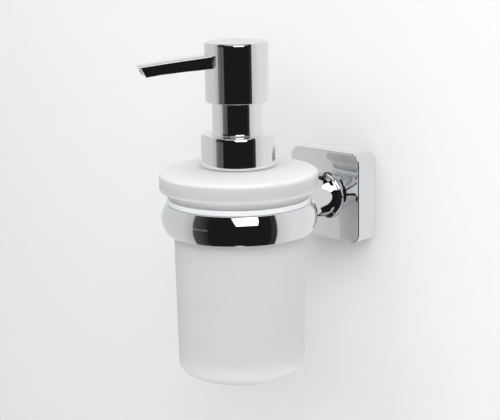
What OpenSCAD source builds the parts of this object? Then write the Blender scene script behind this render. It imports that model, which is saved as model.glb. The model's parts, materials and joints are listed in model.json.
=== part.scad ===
// Wall mounted soap dispenser: a square wall rosette with a round arm and ring,
// a flanged frosted glass bottle that hangs in the ring, and a press pump with a flat spout.
// Frame: the wall is the plane y = 0, the object stands out towards -y, and z is up.
// The origin is the centre of the wall plate's back face, on the arm's axis.

/* [Rosette and wall plate] */
// Side of the square rosette
rosette_side = 50; // [44:1:70]
// How far the rosette stands out from the wall
rosette_depth = 14; // [13:0.5:22]
// Corner radius of the rosette
rosette_corner = 5.5; // [2:0.5:9]
// Wall thickness of the rosette
rosette_wall = 2; // [1.5:0.25:3]
// Gap at each side of the wall plate, inside the rosette
plate_gap = 3; // [0.5:0.5:5]
// Gap above and below the wall plate, inside the rosette
tab_gap = 4; // [2.5:0.5:6]
// Thickness of the wall plate and its tabs
plate_t = 2.5; // [1.5:0.25:3]
// Distance from the plate's upper and lower edges to the wall screws
screw_inset = 6; // [4:0.5:8]
// Diameter of a wall screw hole
screw_hole_d = 4.5; // [3.5:0.25:5.5]
// Diameter of the grub screw
grub_d = 4; // [3:0.5:5]

/* [Arm and ring] */
// Distance from the wall to the bottle's axis
reach = 82; // [75:1:110]
// Arm diameter at the rosette
arm_d = 24; // [20:0.5:28]
// Arm diameter at the ring
arm_tip_d = 16; // [12:0.5:18]
// Fillet between the arm and the rosette
arm_fillet = 2.6; // [1:0.2:4]
// Diameter of the arm's fixing screws
arm_screw_d = 5; // [4:0.5:6]
// Thickness of the ring where it bulges most
ring_wall = 5.1; // [3.5:0.1:7]
// Height of the ring above the arm's axis
ring_up = 7.65; // [6:0.05:9]
// Depth of the ring below the arm's axis
ring_down = 8.1; // [6:0.1:9]
// Radius of the ring's bulging outside
ring_bulge = 12; // [11:0.5:30]
// Thickness of the plastic liner in the ring
liner_t = 0.95; // [0.6:0.05:1.5]
// Height of the liner's lip above the ring
liner_lip_h = 2.75; // [1.5:0.25:4]
// How far the liner's lip shows outside the bottle's step
lip_out = 0.9; // [0.2:0.1:1.5]

/* [Bottle] */
// Diameter of the bottle's body where it hangs in the ring
body_d = 69.8; // [55:0.2:90]
// How much the body's radius narrows from the ring to the foot
foot_taper = 1.1; // [0:0.1:4]
// Depth of the foot below the arm's axis
body_down = 84.5; // [70:0.5:110]
// Radius of the foot's edge
foot_edge = 6; // [2:0.5:10]
// Thickness of the glass wall
glass_t = 3.2; // [2:0.1:4.5]
// Thickness of the glass base
base_t = 7; // [4:0.5:10]
// How far the step that rests on the liner stands out from the body
step_out = 2.2; // [1.5:0.1:4]
// Height of the step
step_h = 4.1; // [2:0.1:6]
// How far the flange stands out from the body
flange_out = 6.9; // [5:0.1:14]
// Height of the flange's side
flange_h = 9.95; // [7:0.05:14]
// Radius of the flange's upper edge
flange_edge = 2; // [1:0.25:4]
// Radius of the flange's lower edge
flange_under_edge = 1.4; // [0.5:0.1:2]
// Slope of the flange's top, in degrees
flange_slope = 7; // [2:0.5:12]
// Outside diameter of the neck
neck_d = 28.4; // [23:0.2:36]
// Height of the neck above the flange
neck_h = 11.5; // [9:0.5:16]
// Thickness of the neck's wall
neck_t = 2.4; // [1.8:0.1:3]

/* [Collar and sleeve] */
// Wall of the closure nut
nut_wall = 3.9; // [2:0.1:6]
// Thickness of the collar's cover round the nut
cover_t = 0.9; // [0.6:0.1:1.5]
// Thickness of the collar's cover over the nut
cover_top_t = 1.2; // [0.8:0.1:3]
// Outside diameter of the sleeve
sleeve_d = 26.6; // [22:0.2:32]
// Thickness of the sleeve's wall
sleeve_t = 1.3; // [0.8:0.1:1.6]
// Gap that is left between the head and the collar when the head is down
down_gap = 4; // [1:0.5:8]
// How far the sleeve reaches up into the head
sleeve_hidden = 2.5; // [1:0.5:5]

/* [Pump] */
// Stroke of the head
stroke = 13; // [8:0.2:16]
// Bore of the pump chamber
chamber_d = 11.2; // [9:0.2:13.6]
// Wall of the pump chamber
chamber_t = 1.4; // [1:0.1:2]
// Height of the piston
piston_h = 7; // [5:0.5:8]
// Length of the spring when the head is down
spring_down_l = 5.5; // [5:0.5:10]
// Diameter of the spring's wire
wire_d = 0.8; // [0.6:0.1:1]
// Number of turns in the spring
spring_turns = 5; // [4:1:7]
// Outside diameter of the stem
stem_d = 6; // [5:0.2:7]
// Bore of the stem and of the spout's channel
channel_d = 3.4; // [2:0.2:3.6]
// Diameter of the valve ball
ball_d = 5; // [4:0.2:6]
// Lift of the valve ball
ball_lift = 1.5; // [0.5:0.25:2]
// Outside diameter of the dip tube
tube_d = 6; // [5:0.2:8]
// Wall of the dip tube
tube_t = 0.9; // [0.6:0.1:1.2]
// Gap between the dip tube and the bottle's base
tube_gap = 2.5; // [1:0.5:6]

/* [Head and spout] */
// Gap between the sleeve and the head's skirt
head_gap = 1.3; // [0.5:0.1:4]
// Thickness of the head's wall
head_t = 2; // [1.2:0.1:3]
// Height of the head above the spout
head_above = 6.1; // [3:0.1:15]
// Radius of the head's upper edge
head_edge = 1; // [0.5:0.1:1.5]
// Direction of the spout, in degrees from straight out towards the left
spout_turn = 27.7; // [-90:0.1:90]
// Thickness of the core under the spout
core_floor = 1.6; // [1:0.1:5]
// Length of the spout from the head's axis
spout_l = 52.4; // [40:0.2:70]
// How far the tip's lower edge lies behind its upper edge
spout_undercut = 3.1; // [0:0.1:6]
// Droop of the spout over its length, in degrees
spout_droop = 4.9; // [0:0.1:8]
// Width of the spout at the head
spout_root_w = 14; // [10:0.2:16]
// Width of the spout at the tip
spout_tip_w = 11; // [7:0.2:14]
// Thickness of the spout at the head
spout_root_h = 6.6; // [5.4:0.1:8]
// Thickness of the spout at the tip
spout_tip_h = 5.5; // [5:0.1:7]

/* [Clearances] */
// Gap between the bottle's body and the liner
bottle_gap = 0.35; // [0.3:0.05:0.6]
// Gap round the loose pieces of the closure
loose_gap = 0.5; // [0.3:0.05:0.8]
// Gap above the sleeve when the head is down
press_gap = 0.8; // [0.4:0.1:2]
// Running fit of the stem, the piston and the swivelling head
run_gap = 0.05; // [0.02:0.01:0.1]
// Gap between the collar and the glass
collar_gap = 0.3; // [0.2:0.05:0.5]

/* [Hidden] */
$fn = 96;
eps = 0.01;

// Wall plate and rosette
rosette_inner = rosette_side - 2 * rosette_wall;
plate_w = rosette_inner - 2 * plate_gap;
plate_h = rosette_inner - 2 * tab_gap;
screw_pitch = plate_h - 2 * screw_inset;
tab_l = 7;
tab_w = 16;
boss_d = grub_d + 5;
grub_y = -(plate_t + tab_l / 2 + 0.5);
grub_recess = 0.3;
washer_t = 1;
washer_d = arm_screw_d + 9;
screw_head_h = 3;
screw_head_d = arm_screw_d + 4;
arm_thread_l = 10;
key_depth = 1.6;

// Arm and ring
bore_r = body_d / 2 + bottle_gap + liner_t;
ring_r = bore_r + ring_wall;
step_r = body_d / 2 + step_out;
lip_r = step_r + lip_out;
ring_screw_d = 4;
ring_screw_head_d = 8;
ring_screw_l = 12;
ring_screw_recess = 0.15;
bulge_x = ring_r - ring_bulge;
arm_straight = 6;
arm_end_y = -(reach - ring_r + 4);

// Bottle heights
step_z = ring_up + liner_lip_h;
flange_z = step_z + step_h;
flange_out_r = body_d / 2 + flange_out;
edge_x = flange_out_r - flange_edge;
edge_z = flange_z + flange_h - flange_edge;
slope_x = edge_x + flange_edge * sin(flange_slope);
slope_z = edge_z + flange_edge * cos(flange_slope);
nut_bore_r = neck_d / 2 + loose_gap;
nut_r = nut_bore_r + nut_wall;
collar_r = nut_r + cover_t;
seat_r = collar_r + 0.5;
seat_z = slope_z + (slope_x - seat_r) * tan(flange_slope);
neck_z = seat_z + neck_h;
neck_bore_r = neck_d / 2 - neck_t;
inside_r = body_d / 2 - glass_t;
foot_out_r = body_d / 2 - foot_taper;
inside_foot_r = foot_out_r - glass_t;
inside_z = -body_down + base_t;
inside_corner = 5;
shoulder_r = 8;
shoulder_drop = 3;
neck_root = 4;

// Pump heights
gasket_t = 1.5;
flange_t = 1.5;
nut_top_t = 1.3;
pump_z = neck_z + gasket_t;
nut_z = pump_z + flange_t;
collar_z = seat_z + collar_gap;
collar_top = nut_z + nut_top_t + cover_top_t;
head_z = collar_top + stroke + down_gap;
sleeve_top = head_z + sleeve_hidden;
core_z = sleeve_top + stroke + press_gap;
spout_z = core_z + core_floor + spout_root_h / 2;
head_top = spout_z + spout_root_h / 2 + head_above;

// Pump diameters
chamber_r = chamber_d / 2;
housing_r = chamber_r + chamber_t;
flange_r = neck_d / 2 - 0.8;
retainer_r = housing_r + 2.5;
retainer_h = 7.5;
plug_h = 6;
retainer_hole_r = retainer_r + loose_gap;
spigot_r = sleeve_d / 2 - 0.7;

// Piston, spring, valve and dip tube, from the top down
piston_top = nut_z - plug_h;
piston_z = piston_top - piston_h;
spring_l = stroke + spring_down_l;
spring_z = piston_z - spring_l;
spring_r = chamber_r - wire_d / 2 - 0.6;
cage_r = ball_d / 2 + 0.6;
cage_h = ball_d + ball_lift - 0.5;
throat_r = 1.6;
chamber_floor = 2;
seat_cone_h = cage_r - throat_r;
throat_z = spring_z - cage_h - seat_cone_h;
ball_z = throat_z - throat_r + ball_d / 2 * sqrt(2) + 0.04;
throat_h = 3.5;
socket_z = throat_z - throat_h;
socket_h = 10;
foot_r = tube_d / 2 + 1.4;
tube_end_z = inside_z + tube_gap;

// Head
skirt_r = sleeve_d / 2 + head_gap;
head_r = skirt_r + head_t;
crown_t = 2.4;
boss_r = stem_d / 2 + 2.4;
boss_z = core_z - 7.8;
passage_r = channel_d / 2 - 0.3;
stem_top = spout_z - channel_d / 2;
spout_root_r = 9;
socket_r = stem_d / 2 + run_gap;

// Moves its children from the origin to the bottle's axis
module on_axis() {
    translate([0, -reach, 0]) children();
}

// Moves its children to the spout's root, with x along the spout and y across it
module along_spout() {
    on_axis() translate([0, 0, spout_z]) rotate([0, 0, -90 - spout_turn]) children();
}

// A round bar or ring on the bottle's axis from z0 to z1
module post(r, z0, z1) {
    on_axis() translate([0, 0, z0]) cylinder(r = r, h = z1 - z0);
}

module pipe(r_out, r_in, z0, z1) {
    difference() {
        post(r_out, z0, z1);
        post(r_in, z0 - 1, z1 + 1);
    }
}

// The socket for a hex key, cut upwards from the origin
module key_socket(d) {
    translate([0, 0, -1]) cylinder(d = d, h = key_depth + 1, $fn = 6);
}

// A round bar along y, from y0 out to y1
module bar_y(r, y0, y1) {
    translate([0, y0, 0]) rotate([90, 0, 0]) cylinder(r = r, h = y0 - y1);
}

module rounded_square(side, corner) {
    square([side, side - 2 * corner], center = true);
    square([side - 2 * corner, side], center = true);
    for (sx = [-1, 1], sz = [-1, 1])
        translate([sx * (side / 2 - corner), sz * (side / 2 - corner)]) circle(r = corner);
}

// A rounded square block that stands out from the wall between y0 and y1
module rounded_block(side, corner, y0, y1) {
    translate([0, y0, 0]) rotate([90, 0, 0]) linear_extrude(y0 - y1) rounded_square(side, corner);
}

// ---- Wall side ----

module wall_plate() {
    color("silver") difference() {
        union() {
            translate([-plate_w / 2, -plate_t, -plate_h / 2]) cube([plate_w, plate_t, plate_h]);
            for (z = [-plate_h / 2, plate_h / 2 - plate_t])
                translate([-tab_w / 2, -plate_t - tab_l, z]) cube([tab_w, tab_l + eps, plate_t]);
        }
        for (z = [-1, 1])
            translate([0, 0, z * screw_pitch / 2]) bar_y(screw_hole_d / 2, 1, -plate_t - 1);
    }
}

module rosette() {
    hook_z = plate_h / 2 + 0.1;
    color("gainsboro") difference() {
        union() {
            difference() {
                rounded_block(rosette_side, rosette_corner, 0, -rosette_depth);
                rounded_block(rosette_inner, rosette_corner - rosette_wall / 2,
                    1, rosette_wall - rosette_depth);
            }
            // Boss for the grub screw, and the ledge that hooks over the wall plate
            translate([0, grub_y, -rosette_side / 2 + 1]) cylinder(d = boss_d, h = rosette_wall + 1);
            translate([-tab_w / 2, rosette_wall - rosette_depth - eps, hook_z])
                cube([tab_w, rosette_depth - rosette_wall - plate_t, rosette_inner / 2 - hook_z + 1]);
        }
        translate([0, grub_y, -rosette_side / 2 - 1]) cylinder(d = grub_d, h = rosette_wall + 5);
        bar_y(arm_screw_d / 2, 0, -rosette_depth - 1);
    }
}

module rosette_grub_screw() {
    z0 = -rosette_side / 2 + grub_recess;
    color("dimgray") translate([0, grub_y, z0]) difference() {
        cylinder(d = grub_d, h = -plate_h / 2 - z0);
        key_socket(grub_d / 2);
    }
}

// Outline of the arm, with its own length along the profile's y
module arm_profile() {
    r0 = arm_d / 2;
    y1 = -arm_end_y - rosette_depth;
    difference() {
        polygon([[0, 0], [r0 + arm_fillet, 0], [r0, arm_fillet], [r0, arm_straight],
            [arm_tip_d / 2, y1], [0, y1]]);
        translate([r0 + arm_fillet, arm_fillet]) circle(r = arm_fillet);
    }
}

module arm_post() {
    y1 = -(reach - bore_r);
    color("gainsboro") difference() {
        translate([0, -rosette_depth, 0]) rotate([90, 0, 0]) rotate_extrude() arm_profile();
        ring_blank(0);
        post(lip_r + collar_gap, -arm_d, arm_d);
        bar_y(arm_screw_d / 2, 0, -rosette_depth - arm_thread_l);
        bar_y(ring_screw_d / 2, y1 + ring_screw_l, y1 - 1);
    }
}

module arm_screw() {
    y0 = rosette_wall - rosette_depth + washer_t;
    color("dimgray") difference() {
        union() {
            bar_y(screw_head_d / 2, y0 + screw_head_h, y0);
            bar_y(arm_screw_d / 2, y0 + 0.5, -rosette_depth - arm_thread_l + 1);
        }
        translate([0, y0 + screw_head_h, 0]) rotate([90, 0, 0]) key_socket(0.7 * arm_screw_d);
    }
}

module arm_washer() {
    y0 = rosette_wall - rosette_depth + washer_t;
    color("silver") difference() {
        bar_y(washer_d / 2, y0, y0 - washer_t);
        bar_y(arm_screw_d / 2, y0 + 1, y0 - washer_t - 1);
    }
}

// The ring's bulging blank, bored to the given radius
module ring_blank(r_in) {
    on_axis() rotate_extrude() intersection() {
        translate([r_in, -ring_down]) square([ring_r + 5, ring_up + ring_down]);
        union() {
            translate([bulge_x, 0]) circle(r = ring_bulge);
            translate([0, -ring_down]) square([bulge_x, ring_up + ring_down]);
        }
    }
}

module ring_screw_shape(gap) {
    y0 = -(reach - bore_r) + ring_screw_recess;
    bar_y(ring_screw_d / 2, y0 + ring_screw_l - 1, y0 + eps);
    translate([0, y0, 0]) rotate([-90, 0, 0])
        cylinder(d1 = ring_screw_head_d, d2 = ring_screw_d, h = (ring_screw_head_d - ring_screw_d) / 2);
    bar_y(ring_screw_head_d / 2, y0 + eps, y0 - gap);
}

module ring_screw() {
    y0 = -(reach - bore_r) + ring_screw_recess;
    color("dimgray") difference() {
        ring_screw_shape(0);
        translate([0, y0, 0]) rotate([-90, 0, 0]) key_socket(0.65 * ring_screw_d);
    }
}

module holder_ring() {
    color("gainsboro") difference() {
        ring_blank(bore_r);
        ring_screw_shape(1);
    }
}

module ring_liner() {
    edge = 0.6;
    inner = bore_r - liner_t;
    color("ivory") on_axis() rotate_extrude() {
        translate([inner, -ring_down + 0.3]) square([liner_t, ring_down + step_z - 0.3]);
        translate([inner, ring_up]) square([lip_r - edge - inner, liner_lip_h]);
        translate([inner, ring_up]) square([lip_r - inner, liner_lip_h - edge]);
        translate([lip_r - edge, step_z - edge]) circle(r = edge);
    }
}

// ---- Bottle ----

module bottle_outline() {
    foot_x = foot_out_r - foot_edge;
    foot_z = -body_down + foot_edge;
    under_x = flange_out_r - flange_under_edge;
    under_z = flange_z + flange_under_edge;
    polygon([[0, -body_down], [foot_x, -body_down], [foot_out_r, foot_z], [body_d / 2, 0],
        [body_d / 2, step_z + 1], [0, step_z + 1]]);
    translate([foot_x, foot_z]) circle(r = foot_edge);
    translate([0, step_z]) square([step_r, step_h + 1]);
    polygon([[0, flange_z], [under_x, flange_z], [flange_out_r, under_z], [flange_out_r, edge_z],
        [slope_x, slope_z], [seat_r, seat_z], [0, seat_z]]);
    translate([under_x, under_z]) circle(r = flange_under_edge);
    translate([edge_x, edge_z]) circle(r = flange_edge);
    translate([0, seat_z - 1]) square([neck_d / 2, neck_h + 1]);
}

module bottle_inside() {
    corner_x = inside_foot_r - inside_corner;
    corner_z = inside_z + inside_corner;
    shoulder_x = inside_r - shoulder_r;
    shoulder_z = flange_z - shoulder_drop;
    polygon([[0, inside_z], [corner_x, inside_z], [inside_foot_r, corner_z], [inside_r, 0],
        [inside_r, shoulder_z], [shoulder_x, shoulder_z + shoulder_r], [neck_bore_r, seat_z - neck_root],
        [neck_bore_r, neck_z + 1], [0, neck_z + 1]]);
    translate([corner_x, corner_z]) circle(r = inside_corner);
    translate([shoulder_x, shoulder_z]) circle(r = shoulder_r);
}

module bottle() {
    color("whitesmoke") on_axis() rotate_extrude() difference() {
        intersection() {
            bottle_outline();
            translate([0, -body_down - 1]) square([2 * flange_out_r, body_down + neck_z + 2]);
        }
        bottle_inside();
    }
}

module bottle_gasket() {
    color("dimgray") pipe(neck_d / 2 - 0.2, housing_r + 0.4, neck_z, pump_z);
}

// ---- Pump ----

module pump_housing() {
    color("white") on_axis() rotate_extrude() difference() {
        union() {
            translate([0, spring_z - chamber_floor]) square([housing_r, nut_z - spring_z + chamber_floor]);
            translate([0, pump_z]) square([flange_r, flange_t]);
            polygon([[0, throat_z], [foot_r, throat_z], [housing_r, spring_z - chamber_floor],
                [0, spring_z - chamber_floor]]);
            translate([0, socket_z - socket_h]) square([foot_r, socket_h + throat_z - socket_z + eps]);
        }
        translate([0, spring_z]) square([chamber_r, nut_z - spring_z + 1]);
        translate([0, spring_z - cage_h]) square([cage_r, cage_h + 1]);
        polygon([[0, throat_z], [throat_r, throat_z], [cage_r, spring_z - cage_h], [0, spring_z - cage_h]]);
        translate([0, socket_z - 1]) square([throat_r, throat_h + 2]);
        translate([0, socket_z - socket_h - 1]) square([tube_d / 2, socket_h + 1]);
    }
}

module retainer() {
    color("white") difference() {
        union() {
            post(retainer_r, nut_z, nut_z + retainer_h);
            post(chamber_r, piston_top, nut_z + eps);
        }
        post(stem_d / 2 + run_gap, piston_top - 1, nut_z + retainer_h + 1);
    }
}

module dip_tube() {
    color("white") difference() {
        pipe(tube_d / 2, tube_d / 2 - tube_t, tube_end_z, socket_z);
        on_axis() translate([0, 0, tube_end_z]) rotate([0, 30, 0])
            translate([-tube_d, -tube_d, -tube_d]) cube([2 * tube_d, 2 * tube_d, tube_d]);
    }
}

module check_ball() {
    color("silver") on_axis() translate([0, 0, ball_z]) sphere(d = ball_d);
}

// Coil spring: rings of wire points swept along a helix
module spring() {
    sides = 8;
    steps = 16 * spring_turns;
    wire_r = wire_d / 2;
    z0 = spring_z + wire_r + eps;
    rise = spring_l - wire_d - 2 * eps;
    points = [for (i = [0:steps], j = [0:sides - 1])
        let (a = 360 * spring_turns * i / steps, b = 360 * j / sides, r = spring_r + wire_r * cos(b))
        [r * cos(a), r * sin(a), z0 + rise * i / steps + wire_r * sin(b)]];
    walls = [for (i = [0:steps - 1], j = [0:sides - 1])
        let (k = (j + 1) % sides)
        [i * sides + j, (i + 1) * sides + j, (i + 1) * sides + k, i * sides + k]];
    caps = [[for (j = [0:sides - 1]) j], [for (j = [sides - 1:-1:0]) steps * sides + j]];
    color("silver") on_axis() polyhedron(points, concat(walls, caps), convexity = 10);
}

// ---- Collar ----

module closure_nut() {
    color("white") difference() {
        post(nut_r, collar_z + 0.2, nut_z + nut_top_t);
        post(nut_bore_r, collar_z - 1, nut_z);
        post(retainer_hole_r, nut_z - 1, nut_z + nut_top_t + 1);
    }
}

module collar_cover() {
    color("gainsboro") difference() {
        post(collar_r, collar_z, collar_top);
        post(nut_r, collar_z - 1, collar_top - cover_top_t);
        post(spigot_r, collar_z, collar_top + 1);
    }
}

module neck_sleeve() {
    color("gainsboro") difference() {
        union() {
            post(sleeve_d / 2, collar_top, sleeve_top);
            post(spigot_r, collar_top - cover_top_t, collar_top + eps);
        }
        post(sleeve_d / 2 - sleeve_t, collar_top - cover_top_t - 1, sleeve_top + 1);
    }
}

// ---- Plunger ----

module stem() {
    color("white") pipe(stem_d / 2, channel_d / 2, piston_z, stem_top);
}

module piston() {
    lip = 1.2;
    color("dimgray") difference() {
        union() {
            post(chamber_r - run_gap, piston_z, piston_z + lip);
            post(chamber_r - 1, piston_z, piston_top);
            post(chamber_r - run_gap, piston_top - lip, piston_top);
        }
        post(stem_d / 2, piston_z - 1, piston_top + 1);
    }
}

// ---- Head ----

// The spout's outer shape, grown on its sides by a gap
module spout_blank(gap) {
    h0 = spout_root_h / 2;
    h1 = spout_tip_h / 2;
    drop = (spout_l - skirt_r) * tan(spout_droop);
    side = [[spout_root_r, h0 + gap], [skirt_r, h0 + gap], [spout_l, h1 - drop + gap],
        [spout_l - spout_undercut, -h1 - drop - gap], [skirt_r, -h0 - gap], [spout_root_r, -h0 - gap]];
    w0 = spout_root_w / 2 + gap;
    w1 = spout_tip_w / 2 + gap;
    plan = [[spout_root_r - 1, -w0], [skirt_r, -w0], [spout_l + 1, -w1], [spout_l + 1, w1],
        [skirt_r, w0], [spout_root_r - 1, w0]];
    intersection() {
        translate([0, spout_root_w, 0]) rotate([90, 0, 0]) linear_extrude(2 * spout_root_w) polygon(side);
        translate([0, 0, -20]) linear_extrude(40) polygon(plan);
    }
}

// The channel from the stem out to the tip
module spout_channel() {
    rotate([0, 90 + spout_droop / 2, 0]) cylinder(d = channel_d, h = spout_l + 5);
}

module head_core() {
    color("white") difference() {
        union() {
            post(skirt_r, core_z, head_top - crown_t);
            post(boss_r, boss_z, core_z + eps);
        }
        post(socket_r, boss_z - 1, stem_top);
        post(passage_r, stem_top - 1, spout_z);
        along_spout() spout_blank(0);
        along_spout() spout_channel();
    }
}

module head_shell() {
    head_h = head_top - head_z;
    edge_r = head_r - head_edge;
    color("gainsboro") difference() {
        on_axis() rotate_extrude() difference() {
            union() {
                translate([0, head_z]) square([head_r, head_h - head_edge]);
                translate([0, head_z]) square([edge_r, head_h]);
                translate([edge_r, head_top - head_edge]) circle(r = head_edge);
            }
            translate([0, head_z - 1]) square([skirt_r, head_h - crown_t + 1]);
        }
        along_spout() spout_blank(0);
    }
}

module spout() {
    color("gainsboro") along_spout() difference() {
        spout_blank(0);
        spout_channel();
    }
}

wall_plate();
rosette();
rosette_grub_screw();
arm_post();
arm_screw();
arm_washer();
ring_screw();
holder_ring();
ring_liner();
bottle();
bottle_gasket();
pump_housing();
retainer();
dip_tube();
check_ball();
spring();
closure_nut();
collar_cover();
neck_sleeve();
stem();
piston();
head_core();
head_shell();
spout();
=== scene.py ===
import json
import math

import bmesh
import bpy
from bpy.props import FloatProperty, FloatVectorProperty, IntProperty, PointerProperty
from mathutils import Matrix, Vector


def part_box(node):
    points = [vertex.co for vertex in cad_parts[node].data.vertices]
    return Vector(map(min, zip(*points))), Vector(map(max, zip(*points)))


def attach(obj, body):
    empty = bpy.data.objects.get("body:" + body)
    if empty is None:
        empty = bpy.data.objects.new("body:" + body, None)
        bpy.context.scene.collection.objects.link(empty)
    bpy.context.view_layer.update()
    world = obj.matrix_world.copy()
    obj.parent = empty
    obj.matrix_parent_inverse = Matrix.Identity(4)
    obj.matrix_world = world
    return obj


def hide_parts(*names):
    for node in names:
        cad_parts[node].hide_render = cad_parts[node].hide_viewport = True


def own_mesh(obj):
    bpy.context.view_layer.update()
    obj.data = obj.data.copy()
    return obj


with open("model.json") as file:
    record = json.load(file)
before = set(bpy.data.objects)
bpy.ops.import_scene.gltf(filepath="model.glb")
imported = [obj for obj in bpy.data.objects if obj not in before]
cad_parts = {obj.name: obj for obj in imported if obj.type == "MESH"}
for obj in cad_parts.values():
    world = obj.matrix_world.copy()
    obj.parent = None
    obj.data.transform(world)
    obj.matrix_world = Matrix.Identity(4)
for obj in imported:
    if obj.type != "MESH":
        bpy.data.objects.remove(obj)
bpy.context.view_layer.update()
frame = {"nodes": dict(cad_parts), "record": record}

bl_info = {
    "name": "Wall Soap Dispenser",
    "version": (1, 0, 0),
    "blender": (4, 5, 0),
    "location": "View3D > Sidebar > Dispenser",
    "description": "Builds the visible pieces, finishes and studio of a wall mounted soap dispenser",
    "category": "Object",
}

MM = 0.001
SPOUT_LENGTH = 52.4 * MM
OUTLET_RADIUS = 1.7 * MM
WIRE_RADIUS = 0.4 * MM
SENSOR_WIDTH = 36.0

# The sockets of a Mix node that hold its factor, its two colours and the mixed colour.
MIX_FACTOR, MIX_A, MIX_B, MIX_RESULT = 0, 6, 7, 2


# ------------------------------------------------ sizes from the frame


class Span:
    """The radius and heights of a round CAD node on the bottle's axis."""

    def __init__(self, node):
        low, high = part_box(node)
        self.r = (high[0] - low[0]) / 2
        self.z0 = low[2]
        self.z1 = high[2]


def pump_axis():
    """The bottle's axis, as x and y, from the middle of the collar."""
    low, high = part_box("collar_cover")
    return Vector(((low[0] + high[0]) / 2, (low[1] + high[1]) / 2, 0.0))


AXIS = pump_axis()


# ------------------------------------------------ settings


def length_setting(name, millimetres, text):
    return FloatProperty(
        name=name, description=text, default=millimetres * MM, subtype="DISTANCE", unit="LENGTH")


def angle_setting(name, degrees, text):
    return FloatProperty(
        name=name, description=text, default=math.radians(degrees), subtype="ANGLE", unit="ROTATION")


def colour_setting(name, default, text):
    return FloatVectorProperty(
        name=name, description=text, default=default, subtype="COLOR", min=0.0, max=1.0)


def power_setting(name, watts, text):
    return FloatProperty(name=name, description=text, default=watts, min=0.0, unit="POWER")


def level_setting(name, default, text):
    return FloatProperty(name=name, description=text, default=default, min=0.0, max=5.0)


class StudioSettings(bpy.types.PropertyGroup):
    camera_azimuth: angle_setting("Camera azimuth", 44.31, "Angle of the camera round the object")
    camera_elevation: angle_setting("Camera elevation", 12.71, "Angle of the camera above the horizon")
    camera_roll: angle_setting("Camera roll", -0.99, "Turn of the camera about its own line of sight")
    camera_distance: length_setting(
        "Camera distance", 757.4, "Distance from the camera to the bottle's axis")
    camera_side: length_setting("Camera side step", 5.63, "How far the camera stands to its right")
    camera_rise: length_setting("Camera rise", 2.60, "How far the camera stands above its aim")
    lens: FloatProperty(
        name="Lens", description="Focal length in millimetres on a 36 mm sensor",
        default=103.24, min=20.0, max=300.0)
    backdrop_colour: colour_setting("Backdrop", (0.88, 0.88, 0.88), "Colour of the wall and floor")
    sky_strength: level_setting("Room light", 0.37, "Strength of the even light from all round")
    mirrored_sky: level_setting(
        "Mirrored room", 0.80, "Brightness of what the chrome mirrors above the screen")
    key_power: power_setting("Key light", 10.0, "Power of the soft light from the side")
    top_power: power_setting("Top light", 5.7, "Power of the light above and in front")
    fill_power: power_setting("Side fill", 3.2, "Power of the low light beside the camera")
    screen_distance: length_setting(
        "Screen distance", 2000.0, "Distance of the mirrored screen from the bottle's axis")
    band_height: length_setting("Band height", -240.0, "Height of the middle of the screen's low band")
    band_width: length_setting("Band width", 270.0, "Height of the low band from edge to edge")


class MountSettings(bpy.types.PropertyGroup):
    corner: length_setting("Rosette corner", 5.5, "Corner radius of the rosette")
    front_edge: length_setting("Rosette front edge", 0.7, "Radius of the edge round the rosette's face")
    wall: length_setting("Rosette wall", 2.0, "Wall thickness of the rosette")
    arm_radius: length_setting("Arm radius", 12.0, "Radius of the arm at the rosette")
    arm_tip_radius: length_setting("Arm tip radius", 8.0, "Radius of the arm at the ring")
    arm_straight: length_setting("Arm straight", 6.0, "Length of the arm before it tapers")
    ring_bulge: length_setting("Ring bulge", 12.0, "Radius of the ring's rounded outside")
    ring_bore: length_setting("Ring bore", 36.2, "Inside radius of the ring")
    ring_edge: length_setting("Ring edge", 0.5, "Radius of the ring's upper and lower edges")
    liner_wall: length_setting("Liner wall", 0.95, "Thickness of the plastic liner")
    chrome_colour: colour_setting("Chrome", (0.87, 0.88, 0.895), "Colour of the polished chrome")


class BottleSettings(bpy.types.PropertyGroup):
    body_radius: length_setting("Body radius", 34.9, "Outside radius where the bottle hangs in the ring")
    foot_radius: length_setting("Foot radius", 33.8, "Outside radius at the foot")
    foot_edge: length_setting("Foot edge", 6.0, "Radius of the foot's edge")
    step_radius: length_setting("Step radius", 37.1, "Radius of the step that rests on the liner")
    step_height: length_setting("Step height", 4.1, "Height of that step")
    flange_side: length_setting("Flange side", 9.95, "Height of the flange's side with its edges")
    flange_edge: length_setting("Flange edge", 2.0, "Radius of the flange's upper edge")
    flange_under_edge: length_setting("Flange lower edge", 1.4, "Radius of the flange's lower edge")
    flange_slope: angle_setting("Flange slope", 7.0, "Slope of the flange's top")
    neck_radius: length_setting("Neck radius", 14.2, "Outside radius of the neck")
    neck_wall: length_setting("Neck wall", 2.4, "Thickness of the neck's wall")
    glass_wall: length_setting("Glass wall", 3.2, "Thickness of the body's wall")
    base: length_setting("Glass base", 7.0, "Thickness of the base")
    glass_colour: colour_setting("Glass", (0.95, 0.955, 0.955), "Colour of the frosted glass")
    # Greys painted into the glass by height. The flange's side is darker, partly for its thick glass and
    # partly as painted shade. The rim is lighter as painted light from above.
    body_shade: level_setting("Body shade", 0.93, "Brightness of the thin glass in the body")
    flange_thick_glass_and_painted_shade: level_setting("Flange shade", 0.65, "Brightness of the thick glass in the flange's side")
    rim_painted_light: level_setting("Rim shade", 0.88, "Brightness of the glass on top of the flange")


class PumpSettings(bpy.types.PropertyGroup):
    head_wall: length_setting("Head wall", 2.0, "Wall thickness of the head's skirt")
    head_edge: length_setting("Head edge", 1.2, "Radius of the head's upper edge")
    collar_edge: length_setting("Collar edge", 1.8, "Radius of the collar's upper edge")
    sleeve_flare: length_setting(
        "Sleeve flare", 1.3, "Radius of the hollow corner between the sleeve and the collar")
    collar_wall: length_setting("Collar wall", 0.9, "Wall thickness of the collar's cover")
    sleeve_wall: length_setting("Sleeve wall", 1.3, "Wall thickness of the sleeve")
    spout_turn: angle_setting("Spout turn", 27.7, "Direction of the spout, from straight out to the left")
    spout_undercut: length_setting(
        "Spout undercut", 3.1, "How far the tip's lower edge lies behind its upper edge")
    spout_droop: angle_setting("Spout droop", 4.9, "Droop of the spout")
    coil_turns: IntProperty(
        name="Coil turns", description="Number of turns in the return spring", default=5, min=2)


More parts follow.
